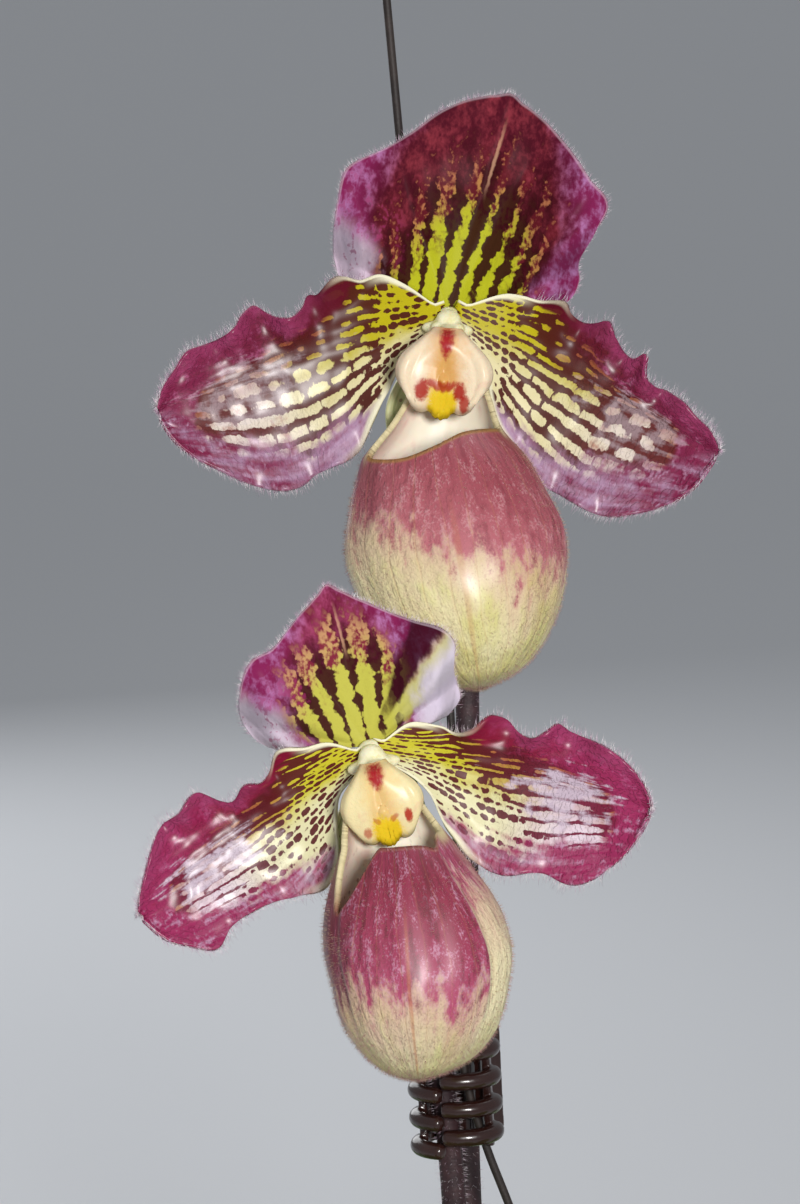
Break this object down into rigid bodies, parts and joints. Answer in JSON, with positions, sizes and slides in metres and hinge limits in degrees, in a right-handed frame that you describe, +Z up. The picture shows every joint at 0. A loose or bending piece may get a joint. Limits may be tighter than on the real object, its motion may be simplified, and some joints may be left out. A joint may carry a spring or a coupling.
{
  "type": "potted slipper orchid",
  "caption": "Potted slipper orchid: open pouched blooms on slender hairy stems, strap leaves in a bark-filled pot, and a thin stake with a hinged claw clip.",
  "frame": {"origin": "centre of the pot's flat base, on the surface that the pot stands on", "axes": "+Z up; -Y is the side the blooms face; +X is to the right of whoever faces the blooms"},
  "size_m": [0.2592, 0.2586, 0.4121],
  "materials": {
    "pot_plastic": "matte",
    "bark": "rough",
    "crown_green": "satin",
    "leaf_green": "satin",
    "stem_hairy": "hairy",
    "ovary_hairy": "hairy",
    "bract_green": "satin",
    "dorsal_wine": "satin",
    "petal_wine": "glossy",
    "synsepal_green": "satin",
    "column_cream": "glossy",
    "staminode_cream": "glossy",
    "pouch_rose": "glossy",
    "stake_dark": "matte",
    "clip_plastic": "glossy",
    "pin_steel": "brushed"
  },
  "bodies": {
    "plant": {"pot": "pot_plastic", "bark_mix": "bark", "crown_a": "crown_green", "crown_b": "crown_green", "crown_c": "crown_green", "leaf_a1": "leaf_green", "leaf_a2": "leaf_green", "leaf_a3": "leaf_green", "leaf_a4": "leaf_green", "leaf_b1": "leaf_green", "leaf_b2": "leaf_green", "leaf_b3": "leaf_green", "leaf_c1": "leaf_green", "leaf_c2": "leaf_green", "lower_scape": "stem_hairy", "lower_ovary": "ovary_hairy", "lower_bract": "bract_green", "lower_dorsal_sepal": "dorsal_wine", "lower_petal_left": "petal_wine", "lower_petal_right": "petal_wine", "lower_synsepal": "synsepal_green", "lower_column": "column_cream", "lower_staminode": "staminode_cream", "lower_pouch": "pouch_rose", "upper_scape": "stem_hairy", "upper_ovary": "ovary_hairy", "upper_bract": "bract_green", "upper_dorsal_sepal": "dorsal_wine", "upper_petal_left": "petal_wine", "upper_petal_right": "petal_wine", "upper_synsepal": "synsepal_green", "upper_column": "column_cream", "upper_staminode": "staminode_cream", "upper_pouch": "pouch_rose", "stake": "stake_dark", "clip_jaw_right": "clip_plastic", "clip_pin": "pin_steel"},
    "clip_jaw": {"clip_jaw_left": "clip_plastic"}
  },
  "joints": [
    {"name": "clip_hinge", "type": "hinge", "parent": "plant", "child": "clip_jaw", "pos_m": [0.00248, -0.00004, 0.1916], "axis": [0.0523, 0, -0.9986], "range_deg": [0, 40], "stiffness_Nm_per_rad": 0.002, "springref_deg": -17.19}
  ]
}
